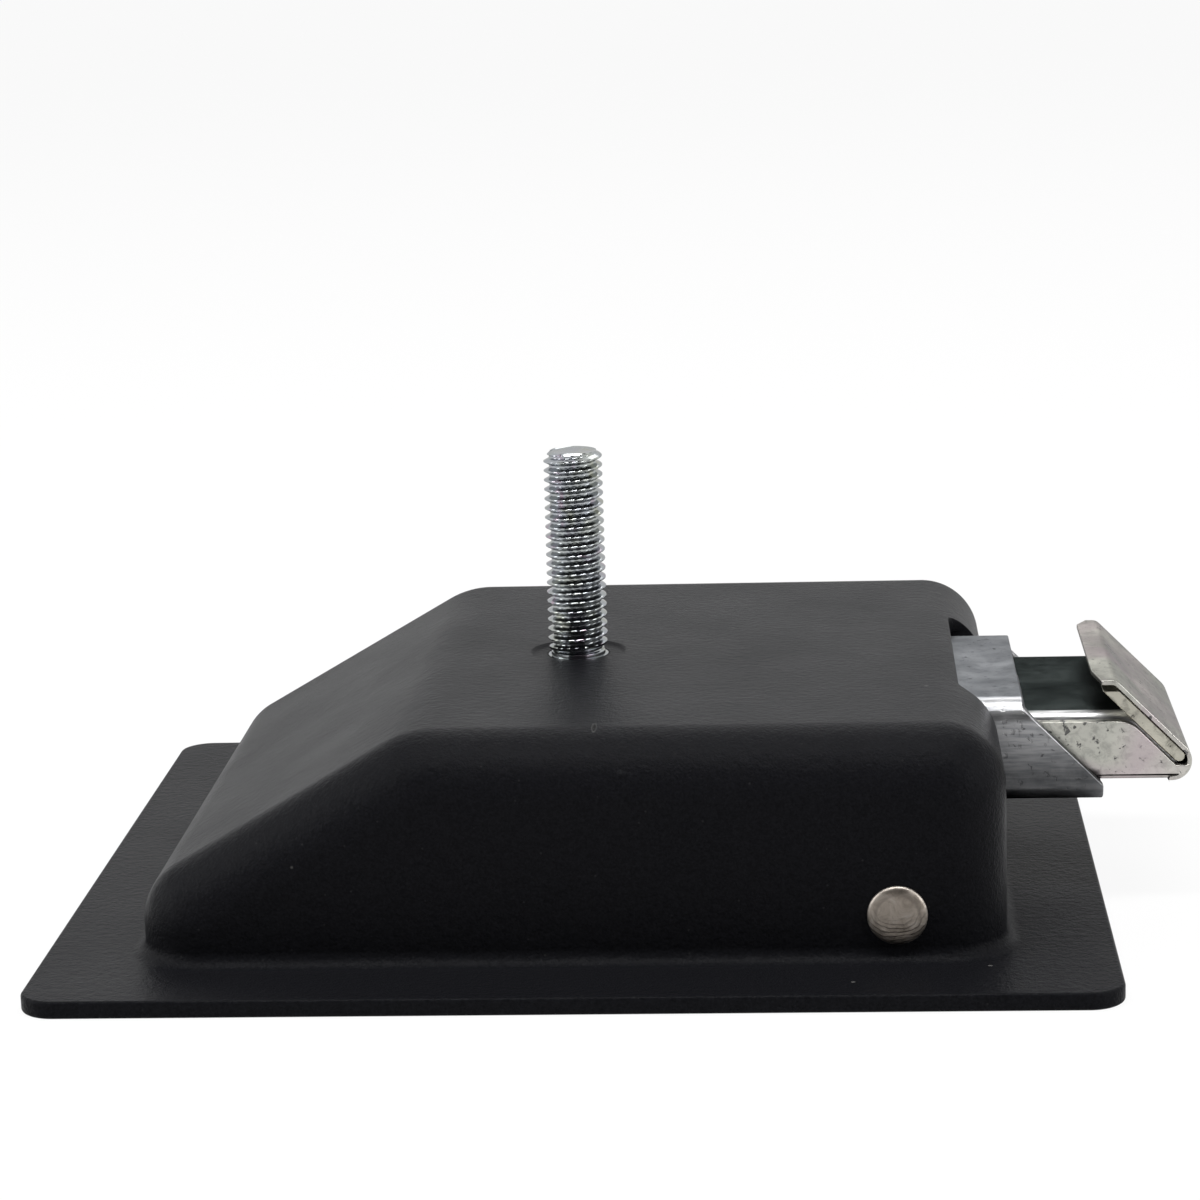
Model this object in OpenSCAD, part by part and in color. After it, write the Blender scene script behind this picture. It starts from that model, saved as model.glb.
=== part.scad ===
// Flush paddle latch with a sprung slam bolt, lying face down: +Z is the side behind the panel.
// Origin: root of the mounting stud on the back of the pan. +X points to the bolt, +Y along the pivot pin.

/* [Pan] */
// Sheet thickness of the drawn pan
sheet_t = 2.2; // [1.6:0.1:3]
// Height of the whole pan over its front face
pan_h = 30; // [26:0.5:36]
// Stud axis to the closed end of the pan
pan_left = 52.1; // [45:0.1:60]
// Stud axis to the end wall with the slot
pan_right = 54.4; // [50:0.1:60]
// Width of the pan across the pivot pin
pan_w = 95.4; // [85:0.2:110]
// Outer radius of every drawn edge and corner of the pan
pan_r = 8; // [6:0.5:9]
// Outer radius of the bend between the ramp and the pan's back
ramp_r = 12; // [9:0.5:18]
// Slope of the finger ramp at the closed end, degrees
ramp_deg = 29.7; // [20:0.1:40]
// Depth below the pan's back at which the ramp's line meets the closed end
ramp_drop = 19.2; // [14:0.1:22]
// Stud axis to the flange edge on the closed side
flange_left = 64.5; // [58:0.1:75]
// Stud axis to the flange edge on the bolt side
flange_right = 67.5; // [62:0.1:75]
// Width of the flange across the pivot pin
flange_w = 121; // [105:0.5:140]
// Corner radius of the flange
flange_r = 4.5; // [2:0.5:10]
// Radius of the concave bend between wall and flange
bend_r = 1.85; // [1.5:0.05:4]
// Gap between the guide and the edge of the slot in the end wall, per side
slot_gap = 0.5; // [0.3:0.05:2]
// How far the slot reaches over the top corner, measured in from the end wall
slot_reach = 4.9; // [3:0.1:8]
// Corner radius of the slot
slot_r = 2; // [1:0.1:3]
// How far the sheet is pressed flat inside the slot's edge, where the guide passes under it
slot_relief = 1.2; // [0.8:0.1:2]
// Diameter of the pressed ring round the stud
ring_d = 12.8; // [11:0.1:16]
// Depth of the pressed ring
ring_depth = 0.3; // [0.2:0.05:0.8]

/* [Mounting stud] */
// Nominal diameter of the stud thread
stud_d = 8; // [6:1:10]
// Length of the stud above the pan's back
stud_l = 27; // [15:0.5:40]
// Diameter of the stud's plain neck through the pan and the guide
stud_neck_d = 7; // [5:0.1:7.4]
// How far the neck rises above the pan's back
stud_neck_up = 0.3; // [0.2:0.1:1]
// Clearance of the stud in its holes, on the diameter
stud_clear = 0.1; // [0.05:0.05:0.3]
// Chamfer at the stud's end
stud_chamfer = 0.9; // [0.5:0.1:1.5]
// Diameter of the stud's head under the guide
stud_head_d = 15; // [12:0.5:18]
// Thickness of the stud's head
stud_head_t = 2.4; // [2:0.1:4]
// Diameter of the stud's tail, which is peened under the spring stop
stud_tail_d = 4.9; // [4:0.1:6]
// Diameter of the tail's peened end
stud_peen_d = 6.4; // [6.2:0.1:8]
// Thickness of the tail's peened end
stud_peen_t = 0.8; // [0.5:0.1:1]

/* [Bolt guide] */
// Sheet thickness of the guide
guide_t = 1.6; // [1.2:0.1:2]
// Outer width of the guide
guide_w = 39.4; // [38:0.1:40]
// Gap between the pan's inside face and the guide's web
guide_gap = 0.6; // [0.4:0.05:1]
// Outer height of the guide
guide_h = 13.2; // [12:0.1:15]
// Outer bend radius of the guide
guide_r = 3; // [2:0.1:4]
// Stud axis to the guide's closed-side end
guide_left = 17; // [14:0.5:18]
// Stud axis to the web's end outside the slot
guide_web_end = 57.6; // [56:0.1:60]
// Stud axis to the blunt tips of the guide's walls
guide_tip = 67.7; // [64:0.1:70]
// Height of the blunt tips
guide_tip_h = 2; // [1.5:0.1:3]
// Width of the lips turned in below the bolt
guide_lip_w = 6.5; // [4:0.1:8]
// How much further back the cut of the wall on the +Y side lies
guide_skew = 1; // [0:0.1:2]

/* [Bolt] */
// Sheet thickness of the bolt's shell
shell_t = 1.4; // [1.2:0.1:1.6]
// Gap between the guide's walls and the bolt, per side
bolt_gap = 0.5; // [0.2:0.05:1]
// Gap between the guide's lips and the bolt
lip_gap = 0.3; // [0.2:0.05:0.5]
// Height of the shell's side walls
shell_wall_h = 7.9; // [7:0.1:9]
// Stud axis to the back end of the bolt
bolt_back = 18; // [16:0.5:22]
// Where the strike face's 45 degree plane would meet the level of the pan's back
strike_reach = 68.6; // [66:0.1:70]
// Outer radius of the folded nose
nose_r = 2.55; // [2.4:0.05:3]
// Depth of the strike's top lip below the pan's back
strike_lip_drop = 0.9; // [0.6:0.1:1.5]
// Length of the strike's top lip
strike_lip = 2.2; // [1:0.1:3]
// Thickness of the strike plate, the nose and the lip
strike_t = 0.6; // [0.5:0.05:1]
// Outer radius of the bend between the strike plate and its lip
lip_r = 1.4; // [1:0.1:2]
// Free travel of the bolt
travel = 9; // [6:0.5:9]
// Sheet thickness of the bolt's core
core_t = 1.2; // [1:0.1:1.4]
// Fit of the core inside the shell, per side
core_fit = 0.1; // [0.05:0.05:0.2]
// Depth of the core's top below the pan's back
core_drop = 5.3; // [5:0.1:6]
// Gap seen between the strike plate and its doubler
doubler_gap = 0.15; // [0.1:0.05:0.2]
// Sheet thickness of the strike doubler
doubler_t = 1.5; // [1.2:0.05:1.6]
// Depth of the doubler's upper end below the pan's back
doubler_top = 2.4; // [2:0.1:3]
// Gap between the doubler and the sloping ends of the shell's walls
wall_gap = 0.32; // [0.1:0.02:0.5]
// Thickness of the bolt's spring seat
seat_wall_t = 1.5; // [1:0.1:2]
// Length of the boss that the bolt spring is centred on
seat_boss = 2; // [1:0.1:3]

/* [Drive] */
// Stud axis to the pivot pin
pivot_x = 40.9; // [38:0.1:44]
// Height of the pivot pin over the pan's front face
pivot_h = 8; // [7:0.1:10]
// Diameter of the pivot pin's shank
pivot_d = 5; // [4:0.1:6]
// Running clearance of the pivot pin in its bores, on the diameter
pivot_clear = 0.12; // [0.05:0.01:0.2]
// Diameter of the pivot pin's heads
pivot_head_d = 7.3; // [6.5:0.1:9]
// Height of the pivot pin's domed heads
pivot_head_h = 0.9; // [0.6:0.1:1.4]
// Drive pin height over the pivot pin
drive_arm = 12.6; // [11:0.1:13]
// Diameter of the drive pin across the bolt
drive_d = 4; // [3:0.1:5]
// Clearance of the drive pin in the lever's fork, on the diameter
drive_clear = 0.6; // [0.4:0.05:0.8]
// Sheet thickness of the paddle's lever
lever_t = 2; // [1.5:0.1:3]
// Outer width of the lever across its cheeks
lever_w = 17; // [14:0.5:20]
// Width of one prong of the lever's fork
prong_w = 2.4; // [2:0.1:3.5]
// Thickness of the lever's base on the paddle
lever_base_t = 1.6; // [1.2:0.1:2.5]
// Length of the lever's base behind the pivot pin
lever_base_l = 24; // [20:0.5:30]
// Radius of the ears round the pivot pin
ear_r = 5.2; // [4.5:0.1:6]
// How far the cheeks' feet reach behind the ears
lever_foot = 9; // [6:0.5:12]
// Pivot pin to the two rivets of the lever's base
lever_rivet_xs = [19.5, 12]; // [8:0.5:22]
// Diameter of the rivets
lever_rivet_d = 3.4; // [2.5:0.1:4]
// End play of the spacers along the pivot pin, at each end
spacer_play = 0.4; // [0.2:0.1:0.8]
// Wall of the spacers on the pivot pin
spacer_wall = 0.85; // [0.6:0.05:0.9]

/* [Paddle] */
// Sheet thickness of the paddle
paddle_t = 1.6; // [1.2:0.1:2]
// Gap between the paddle and the pan's side walls, per side
paddle_gap = 0.9; // [0.5:0.1:2]
// Stud axis to the paddle's pull edge
paddle_left = 24; // [15:0.5:30]
// Pivot pin to the paddle's short edge
paddle_short = 7.1; // [5:0.1:7.5]
// How far the paddle's face sits inside the flange's front plane
paddle_inset = 0.4; // [0.2:0.05:1]
// Height of the paddle's turned-up rim
paddle_rim_h = 5.5; // [4:0.5:8]
// Outer bend radius of the paddle's rim
paddle_r = 2.6; // [2:0.1:4]

/* [Springs] */
// Outer diameter of the bolt spring
bolt_spring_d = 6; // [5:0.1:6.4]
// Wire diameter of the bolt spring
bolt_wire_d = 0.9; // [0.6:0.05:1]
// Coils of the bolt spring
bolt_coils = 8; // [6:1:10]
// Outer diameter of the paddle spring's coils
paddle_spring_d = 8.4; // [8:0.1:9]
// Wire diameter of the paddle spring
paddle_wire_d = 1.2; // [0.8:0.1:1.4]
// Coils of the paddle spring
paddle_coils = 4; // [3:1:6]
// Length of the paddle spring's leg on the paddle
paddle_leg = 5; // [4:0.1:5.5]
// Length of the paddle spring's leg under the guide
guide_leg = 7; // [6:0.1:7.4]
// Stud axis to the wall of the spring stop
stop_x = 11; // [10.5:0.1:12]
// Sheet thickness of the spring stop
stop_t = 2; // [1.5:0.1:2.2]
// Width of the spring stop
stop_w = 18; // [12:0.5:24]
// How far the stop's foot reaches past the stud on the closed side
stop_foot = 9; // [7:0.5:12]
// Length of the bolt spring at rest
bolt_spring_l = 18; // [16:0.5:19]

/* [Hidden] */
eps = 0.01;
front_z = -pan_h;
seat_z = front_z + sheet_t;
bend_top_z = seat_z + bend_r;
mid_x = (pan_right - pan_left) / 2;
pan_l = pan_left + pan_right;
web_top = -sheet_t - guide_gap;
stud_hole_d = stud_d + stud_clear;
slot_w = guide_w + 2 * slot_gap;
shell_w = guide_w - 2 * guide_t - 2 * bolt_gap;
guide_bottom = web_top - guide_h;
shell_bottom = guide_bottom + guide_t + lip_gap;
shell_top = shell_bottom + shell_wall_h;
pivot_z = front_z + pivot_h;
drive_z = pivot_z + drive_arm;
// The lever swings the same angle either side of upright
swing_half = atan(travel / 2 / drive_arm);
drive_x = pivot_x + travel / 2;
// The stop's foot lies against the stud's head
stop_foot_z = web_top - guide_t - stud_head_t;
nose_x = strike_reach - shell_bottom - nose_r * (1 + sqrt(2));
nose_z = shell_bottom + nose_r;
// 45 degree planes are given by where they would meet the level of the pan's back
doubler_outer = strike_reach - (strike_t + doubler_gap) * sqrt(2);
doubler_inner = doubler_outer - doubler_t * sqrt(2);
// The doubler's rounded end lies in the nose, lifted so that it clears the nose's inside
doubler_lift = 0.5;
doubler_end_z = nose_z + doubler_lift;
doubler_foot_z = doubler_end_z - doubler_t / 2;
paddle_z = front_z + paddle_inset;
paddle_w = pan_w - 2 * sheet_t - 2 * paddle_gap;
paddle_right = pivot_x + paddle_short;
pivot_bore_d = pivot_d + pivot_clear;
// The spacers lie between the lever's cheeks and the paddle's ears
spacer_inner = lever_w / 2 + spacer_play;
spacer_outer = paddle_w / 2 - paddle_t - spacer_play;
spring_z = (shell_bottom + shell_t - core_drop - core_t) / 2;
seat_wall_x = stop_x + stop_t + bolt_spring_l;
window_x0 = seat_wall_x + seat_wall_t + 3.2;
window_x1 = pivot_x + 13.5;
window_w = lever_w + 3;
// The paddle spring stands under the guide's lip, and its legs lean out to their seats
paddle_spring_l = (paddle_coils + 1.6) * paddle_wire_d;
paddle_spring_y = guide_w / 2 - paddle_spring_l;
spring_end_gap = 0.3;
paddle_leg_deg = 16;
guide_leg_deg = 12;
paddle_spring_sweep = 360 * paddle_coils + 180 - paddle_leg_deg - guide_leg_deg;
corner_steps = 8;
turn_steps = 4;
bend_steps = 6;
$fn = 64;

// Shared shapes

// Rounded rectangle from (x0, -w/2) to (x1, w/2): a cross of two rectangles and four discs
module plan(x0, x1, w, r) {
    translate([x0 + r, -w / 2])
        square([x1 - x0 - 2 * r, w]);
    translate([x0, -w / 2 + r])
        square([x1 - x0, w - 2 * r]);
    for (x = [x0 + r, x1 - r], y = [-w / 2 + r, w / 2 - r])
        translate([x, y])
            circle(r);
}

// Draws its 2D child, seen from -Y with x to the right and z up, and gives it a width centred on y
module across(width, y = 0) {
    translate([0, y + width / 2, 0])
        rotate([90, 0, 0])
            linear_extrude(width)
                children();
}

// Round bar along +Y, centred on y
module bar(d, length, x, z, y = 0) {
    translate([x, y + length / 2, z])
        rotate([90, 0, 0])
            cylinder(d = d, h = length);
}

// Wire wound round +Z from z = 0 to height, by sweep degrees from start, with straight legs at its ends
module coil(coil_d, wire_d, start, sweep, height, leg_in = 0, leg_out = 0, sides = 8, step = 18) {
    n = ceil(sweep / step);
    r = (coil_d - wire_d) / 2;
    // One ring of the tube at angle a, moved along the wire's direction there
    ring = function (a, z, shift) [
        for (k = [0:sides - 1])
            let (b = 360 * k / sides, rr = r + wire_d / 2 * cos(b))
                [rr * cos(a) - shift * sin(a), rr * sin(a) + shift * cos(a), z + wire_d / 2 * sin(b)]
    ];
    rise = height - wire_d;
    coil_rings = [for (i = [0:n]) ring(start + sweep * i / n, wire_d / 2 + rise * i / n, 0)];
    rings = concat(
        leg_in > 0 ? [ring(start, wire_d / 2, -leg_in)] : [], coil_rings,
        leg_out > 0 ? [ring(start + sweep, height - wire_d / 2, leg_out)] : []
    );
    last = len(rings) - 1;
    walls = [
        for (i = [0:last - 1], k = [0:sides - 1])
            [i * sides + k, i * sides + (k + 1) % sides, (i + 1) * sides + (k + 1) % sides, (i + 1) * sides + k]
    ];
    first_cap = [[for (k = [sides - 1:-1:0]) k]];
    last_cap = [[for (k = [0:sides - 1]) last * sides + k]];
    polyhedron([for (one = rings) each one], concat(first_cap, walls, last_cap), convexity = 6);
}

// Pan

// The drawn sheet is lofted round the mouth in columns. Each column is cut by a ball of pan_r rolling under the edge:
// [ball centre, outward direction, normal of the face above, point on the flange's edge]
function pan_columns() =
    let (
        y = pan_w / 2 - pan_r,
        fy = flange_w / 2 - flange_r,
        left_x = -pan_left + pan_r,
        left_z = -ramp_drop - pan_r / cos(ramp_deg) + pan_r * tan(ramp_deg),
        ramp_up = [-sin(ramp_deg), 0, cos(ramp_deg)],
        // Where the ramp turns into the back the ball follows an arc about this line
        turn_x = -pan_left + (ramp_drop + ramp_r / cos(ramp_deg) - ramp_r) / tan(ramp_deg),
        right = [pan_right - pan_r, -pan_r, flange_right - flange_r, [0, 0, 1]],
        left = [left_x, left_z, -flange_left + flange_r, ramp_up],
        corner = function (end, side, from) [
            for (k = [0:corner_steps])
                let (a = from + 90 * k / corner_steps, out = [cos(a), sin(a), 0])
                    [[end[0], side * y, end[1]], out, end[3], [end[2], side * fy] + flange_r * [cos(a), sin(a)]]
        ],
        turn = function (side, steps) [
            for (i = steps)
                let (a = ramp_deg * i / turn_steps, up = [-sin(a), 0, cos(a)], x = turn_x - (ramp_r - pan_r) * sin(a))
                    [
                        [x, side * y, -ramp_r + (ramp_r - pan_r) * cos(a)], [0, side, 0], up,
                        [x, side * flange_w / 2]
                    ]
        ]
    )
    concat(
        corner(right, 1, 0), turn(1, [0:turn_steps]), corner(left, 1, 90),
        corner(left, -1, 180), turn(-1, [turn_steps:-1:0]), corner(right, -1, 270)
    );

// Direction a share t of the way from a to b along their great circle
function between(a, b, t) =
    let (angle = acos(a * b))
        (sin((1 - t) * angle) * a + sin(t * angle) * b) / sin(angle);

// Points of one column, from the back face over the edge, down the wall, round the flange and back inside
function pan_column(c) =
    let (
        foot = [c[0][0], c[0][1]] + pan_r * [c[1][0], c[1][1]],
        out = [c[1][0], c[1][1]],
        dome = function (r, steps) [for (i = steps) c[0] + r * between(c[1], c[2], i / corner_steps)],
        bend = function (r, steps) [
            for (i = steps)
                let (a = 180 + 90 * i / bend_steps)
                    [each foot + (bend_r + r * cos(a)) * out, bend_top_z + r * sin(a)]
        ]
    )
    concat(
        dome(pan_r, [corner_steps:-1:0]), bend(bend_r, [0:bend_steps]),
        [[each c[3], seat_z], [each c[3], front_z]],
        bend(bend_r + sheet_t, [bend_steps:-1:0]), dome(pan_r - sheet_t, [0:corner_steps])
    );

module drawn_sheet() {
    columns = [for (c = pan_columns()) pan_column(c)];
    n = len(columns);
    rows = len(columns[0]);
    // All the columns of a corner end in one point at the back face, that of the corner's first column
    per_corner = corner_steps + 1;
    per_turn = turn_steps + 1;
    first = [0, per_corner + per_turn, 2 * per_corner + per_turn, 3 * per_corner + 2 * per_turn];
    pole = function (j) let (c = [for (f = first) if (j >= f && j < f + per_corner) f]) len(c) > 0 ? c[0] : j;
    index = function (j, i) (i == 0 || i == rows - 1 ? pole(j) : j) * rows + i;
    quads = [
        for (j = [0:n - 1], i = [0:rows - 2])
            let (j2 = (j + 1) % n)
                [index(j, i), index(j2, i), index(j2, i + 1), index(j, i + 1)]
    ];
    // Strips across the back face and the ramp, outside and inside
    plus = [0, each [per_corner:per_corner + turn_steps], first[1]];
    minus = [first[3], each [first[3] - 1:-1:first[3] - per_turn], first[2]];
    strips = [
        for (k = [0:len(plus) - 2])
            each [
                [for (j = [plus[k], minus[k], minus[k + 1], plus[k + 1]]) j * rows],
                [for (j = [plus[k], plus[k + 1], minus[k + 1], minus[k]]) j * rows + rows - 1]
            ]
    ];
    triangles = [for (q = concat(quads, strips)) each [[q[0], q[1], q[2]], [q[0], q[2], q[3]]]];
    polyhedron(
        [for (c = columns) each c],
        [for (t = triangles) if (t[0] != t[1] && t[1] != t[2] && t[2] != t[0]) t],
        convexity = 8
    );
}

module slot_cut() {
    bottom = guide_bottom - 0.4;
    x0 = pan_right - slot_reach;
    translate([0, 0, bottom])
        linear_extrude(2 - bottom)
            plan(x0, pan_right + slot_r + 1, slot_w, slot_r);
    translate([x0 - slot_relief, -slot_w / 2, bottom])
        cube([slot_relief + slot_r, slot_w, web_top + 0.05 - bottom]);
}

module pan() {
    color([0.27, 0.27, 0.28])
        difference() {
            union() {
                drawn_sheet();
                // Inside of the pressed ring, which bears on the guide
                translate([0, 0, web_top])
                    cylinder(d = ring_d - 1, h = guide_gap + 0.5);
            }
            slot_cut();
            translate([0, 0, -ring_depth])
                cylinder(d = ring_d, h = 1);
            translate([0, 0, -5])
                cylinder(d = stud_hole_d, h = 6);
            bar(pivot_bore_d, pan_w + 2, pivot_x, pivot_z);
        }
}

// Turned stud: peened tail, head, plain neck through guide and pan, thread's crest cylinder
module mounting_stud() {
    head_top = web_top - guide_t;
    head_edge = 0.6;
    peen_top = stop_foot_z - stop_t;
    color([0.78, 0.79, 0.8])
        rotate_extrude()
            polygon([
                [0, peen_top - stud_peen_t], [stud_tail_d / 2, peen_top - stud_peen_t], [stud_peen_d / 2, peen_top],
                [stud_tail_d / 2, peen_top], [stud_tail_d / 2, stop_foot_z],
                [stud_head_d / 2 - head_edge, stop_foot_z], [stud_head_d / 2, stop_foot_z + head_edge],
                [stud_head_d / 2, head_top], [stud_neck_d / 2, head_top], [stud_neck_d / 2, stud_neck_up],
                [stud_d / 2, stud_neck_up], [stud_d / 2, stud_l - stud_chamfer],
                [stud_d / 2 - stud_chamfer, stud_l], [0, stud_l]
            ]);
}

// Bolt guide

// Channel section, y to the right and z up, with lips turned in below the bolt
module guide_section() {
    difference() {
        channel_outline(guide_w, web_top, guide_bottom, guide_r, 1.8);
        channel_outline(guide_w - 2 * guide_t, web_top - guide_t, guide_bottom + guide_t, guide_r - guide_t, 0.4);
        translate([-guide_w / 2 + guide_lip_w, guide_bottom - 1])
            square([guide_w - 2 * guide_lip_w, guide_t + 2]);
    }
}

// Filled channel outline with its own radius at the top and at the bottom
module channel_outline(w, top, bottom, r_top, r_bottom) {
    translate([-w / 2, bottom + r_bottom])
        square([w, top - bottom - r_top - r_bottom]);
    translate([-w / 2 + r_top, bottom + r_bottom])
        square([w - 2 * r_top, top - bottom - r_bottom]);
    translate([-w / 2 + r_bottom, bottom])
        square([w - 2 * r_bottom, top - bottom - r_top]);
    for (s = [-1, 1]) {
        translate([s * (w / 2 - r_top), top - r_top])
            circle(r_top);
        translate([s * (w / 2 - r_bottom), bottom + r_bottom])
            circle(r_bottom);
    }
}

// Runs its 2D child, y to the right and z up, along x from x0 to x1
module along(x0, x1) {
    translate([x0, 0, 0])
        rotate([90, 0, 90])
            linear_extrude(x1 - x0)
                children();
}

// Side view of the guide, with its 45 degree end and blunt tips at tip_x
module guide_side(tip_x) {
    tip_top = guide_bottom + guide_tip_h;
    web_corner_z = tip_top + tip_x - guide_web_end;
    polygon([
        [-guide_left, 1], [-guide_left, guide_bottom - 1], [tip_x, guide_bottom - 1], [tip_x, tip_top],
        [guide_web_end, web_corner_z], [guide_web_end, 1]
    ]);
}

module bolt_guide() {
    color([0.62, 0.63, 0.65])
        difference() {
            intersection() {
                along(-guide_left - 1, guide_tip + 1)
                    guide_section();
                union() {
                    across(guide_w / 2 + 1, -guide_w / 4 - 0.5)
                        guide_side(guide_tip);
                    across(guide_w / 2 + 1, guide_w / 4 + 0.5)
                        guide_side(guide_tip - guide_skew);
                }
            }
            translate([0, 0, -8])
                cylinder(d = stud_hole_d, h = 8);
        }
}

// Bolt

// U section of the shell, y to the right and z up
module shell_section() {
    difference() {
        channel_outline(shell_w, shell_top + 4, shell_bottom, 0.5, 1.9);
        channel_outline(shell_w - 2 * shell_t, shell_top + 8, shell_bottom + shell_t, 0.5, 0.4);
    }
}

// Side view of the shell's walls: level, then down beside the strike plate to the nose
module shell_side() {
    slope_end = doubler_inner - wall_gap * sqrt(2);
    knee_r = 4;
    knee_x = slope_end - shell_top - knee_r * tan(22.5);
    // The walls also close the nose's ends, up to a gap under the doubler
    cheek_gap = 0.25;
    cheek_z = doubler_foot_z - cheek_gap;
    difference() {
        polygon([
            [bolt_back, shell_bottom - 1], [nose_x, shell_bottom - 1], [nose_x, cheek_z],
            [slope_end - cheek_z, cheek_z], [slope_end - shell_top, shell_top], [bolt_back, shell_top]
        ]);
        // Rounded knee between the level edge and the slope
        difference() {
            polygon([
                [knee_x, shell_top + 1], [knee_x, shell_top - knee_r], [knee_x + knee_r, shell_top - knee_r],
                [knee_x + knee_r, shell_top + 1]
            ]);
            translate([knee_x, shell_top - knee_r])
                circle(knee_r);
            polygon([
                [knee_x - 1, shell_top - knee_r - 1], [knee_x + knee_r * 0.7071, shell_top - knee_r - 1],
                [knee_x + knee_r * 0.7071, shell_top - knee_r + knee_r * 0.7071],
                [knee_x + knee_r * 1.4142, shell_top - knee_r], [knee_x + knee_r + 1, shell_top - knee_r - 1]
            ]);
        }
    }
    intersection() {
        translate([nose_x, nose_z])
            circle(nose_r - strike_t / 2);
        translate([nose_x - 1, shell_bottom])
            square([nose_r + 1, cheek_z - shell_bottom]);
    }
}

// Side view of the folded strip: round nose, strike plate, top bend and lip
module strike_strip() {
    lip_z = -strike_lip_drop;
    plate_top = lip_z - lip_r * (1 - cos(45));
    bend_x = strike_reach - plate_top - lip_r * sin(45);
    step = strike_t * sin(45);
    nose_start = 0.4;
    // The plate's ends lie a little inside the two bends
    inside = 0.03;
    // Nose, with a short straight start on the bottom
    translate([nose_x - nose_start, shell_bottom])
        square([nose_start + eps, strike_t]);
    translate([nose_x, nose_z])
        fold(nose_r, [[0, 0], [0, -nose_r - 1], [nose_r + 2, -nose_r - 1], [nose_r + 2, nose_r + 2]]);
    low = [nose_x + nose_r * sin(45) + inside, nose_z + nose_r * sin(45) - inside];
    high = [strike_reach - plate_top - inside, plate_top + inside];
    polygon([low, high, high - [step, step], low - [step, step]]);
    translate([bend_x, lip_z - lip_r])
        fold(lip_r, [[0, 0], [0, lip_r + 1], [lip_r + 1, lip_r + 1]]);
    translate([bend_x - strike_lip, lip_z - strike_t])
        square([strike_lip + eps, strike_t]);
}

// Bend in the strike's sheet round the origin, within the wedge of the given points
module fold(r, wedge) {
    intersection() {
        difference() {
            circle(r);
            circle(r - strike_t);
        }
        polygon(wedge);
    }
}

// The two cut corners of the strike's top, in plan
module strike_corners() {
    left = strike_reach + strike_lip_drop - strike_lip - 2;
    far = shell_w / 2;
    translate([0, 0, -4])
        linear_extrude(6)
            polygon([[left - 1, far - 6.5], [left + 0.5, far - 4.6], [left + 2.9, far + 0.1], [left - 1, far + 0.1]]);
    translate([0, 0, -4])
        linear_extrude(6)
            polygon([[left - 1, -far + 6], [left + 1.4, -far + 6], [left + 2.4, -far - 0.1], [left - 1, -far - 0.1]]);
}

module bolt_shell() {
    color([0.72, 0.71, 0.68])
        difference() {
            union() {
                intersection() {
                    along(bolt_back, nose_x + nose_r)
                        shell_section();
                    across(shell_w + 2)
                        shell_side();
                }
                across(shell_w - 0.6)
                    strike_strip();
            }
            strike_corners();
            // Window for the lever
            translate([window_x0, -window_w / 2, shell_bottom - 1])
                cube([window_x1 - window_x0, window_w, shell_t + 2]);
            bar(drive_d, shell_w + 2, drive_x, drive_z);
        }
}

// Inner channel, cut off at 45 degrees behind the strike doubler
module bolt_core() {
    w = shell_w - 2 * shell_t - 2 * core_fit;
    cut = doubler_inner - 0.05;
    bottom = shell_bottom + shell_t + core_fit;
    color([0.42, 0.43, 0.42])
        difference() {
            along(bolt_back + 0.5, cut - bottom)
                difference() {
                    channel_outline(w, -core_drop, bottom, 1.6, 0.2);
                    channel_outline(w - 2 * core_t, -core_drop - core_t, bottom - 2, 0.4, 0.2);
                }
            across(w + 2)
                polygon([[cut + 1, -1], [cut - bottom + 1, bottom - 1], [cut + 30, bottom - 1], [cut + 30, -1]]);
            bar(drive_d, w + 2, drive_x, drive_z);
        }
}

// Second sheet behind the strike plate, its rounded end down in the nose
module strike_doubler() {
    top_z = -doubler_top;
    end_r = doubler_t / 2;
    end_z = doubler_end_z;
    end_x = (doubler_outer + doubler_inner) / 2 - end_z;
    color([0.66, 0.65, 0.62])
        across(shell_w - 2 * shell_t + 1)
            polygon([
                [doubler_inner - top_z, top_z], [doubler_outer - top_z, top_z],
                for (a = [45:-15:-135]) [end_x + end_r * cos(a), end_z + end_r * sin(a)]
            ]);
}

// Cross wall in the bolt that the bolt spring pushes on
module bolt_spring_seat() {
    w = shell_w - 2 * shell_t - 2 * core_fit - 2 * core_t;
    bottom = shell_bottom + shell_t;
    top = -core_drop - core_t;
    color([0.6, 0.6, 0.6]) {
        along(seat_wall_x, seat_wall_x + seat_wall_t)
            channel_outline(w, top, bottom, 0.6, 0.2);
        translate([seat_wall_x - seat_boss, 0, spring_z])
            rotate([0, 90, 0])
                cylinder(d = bolt_spring_d - 2 * bolt_wire_d - 0.4, h = seat_boss + eps);
    }
}

module drive_pin() {
    color([0.7, 0.7, 0.7])
        bar(drive_d, shell_w, drive_x, drive_z);
}

module bolt_spring() {
    color([0.55, 0.56, 0.58])
        translate([stop_x + stop_t, 0, spring_z])
            rotate([0, 90, 0])
                coil(bolt_spring_d, bolt_wire_d, 0, 360 * bolt_coils, bolt_spring_l);
}

// Bracket held under the stud's head: the bolt spring's fixed seat
module spring_stop() {
    bottom = shell_bottom + shell_t + 0.5;
    color([0.62, 0.63, 0.65]) {
        difference() {
            translate([-stop_foot, -stop_w / 2, stop_foot_z - stop_t])
                cube([stop_x + stop_foot + stop_t, stop_w, stop_t]);
            translate([0, 0, stop_foot_z - stop_t - 1])
                cylinder(d = stud_tail_d + stud_clear, h = stop_t + 2);
        }
        translate([stop_x, -stop_w / 2, bottom])
            cube([stop_t, stop_w, stop_foot_z - bottom]);
    }
}

// Paddle

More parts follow.
